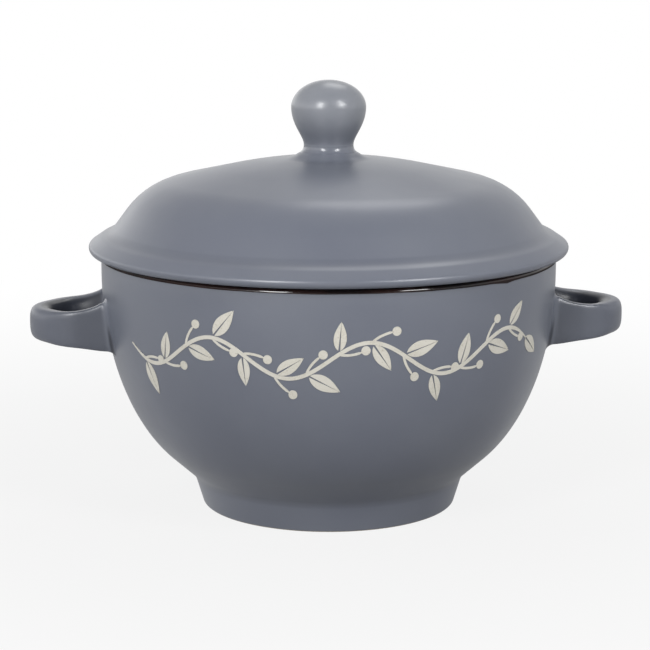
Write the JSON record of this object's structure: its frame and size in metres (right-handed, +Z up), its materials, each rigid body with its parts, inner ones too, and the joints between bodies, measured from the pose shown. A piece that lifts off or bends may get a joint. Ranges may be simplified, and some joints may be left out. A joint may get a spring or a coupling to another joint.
{
  "type": "lidded bowl",
  "caption": "Round stoneware soup bowl on a foot ring, with looped side handles and a domed lid that lifts off by its knob.",
  "frame": {"origin": "middle of the foot ring's resting plane", "axes": "+X through the middle of the right handle, +Y away from the front, +Z up through the lid's knob"},
  "size_m": [0.1812, 0.1448, 0.1293],
  "materials": {
    "grey_satin_glaze": "satin blue-grey glaze on stoneware",
    "dark_gloss_glaze": "glossy brown-black glaze",
    "cream_slip": "matt cream slip of the painted vine"
  },
  "bodies": {
    "bowl": {"bowl_body": "grey_satin_glaze", "bowl_glaze_lining": "dark_gloss_glaze", "handle_right": "grey_satin_glaze", "handle_left": "grey_satin_glaze"},
    "lid": {"lid_shell": "grey_satin_glaze", "lid_locating_ring": "grey_satin_glaze", "lid_glaze_lining": "dark_gloss_glaze", "lid_knob": "grey_satin_glaze"}
  },
  "joints": [
    {"name": "lid_lift", "type": "slide", "parent": "bowl", "child": "lid", "axis": [0, 0, 1], "range_m": [0, 0.1]}
  ]
}
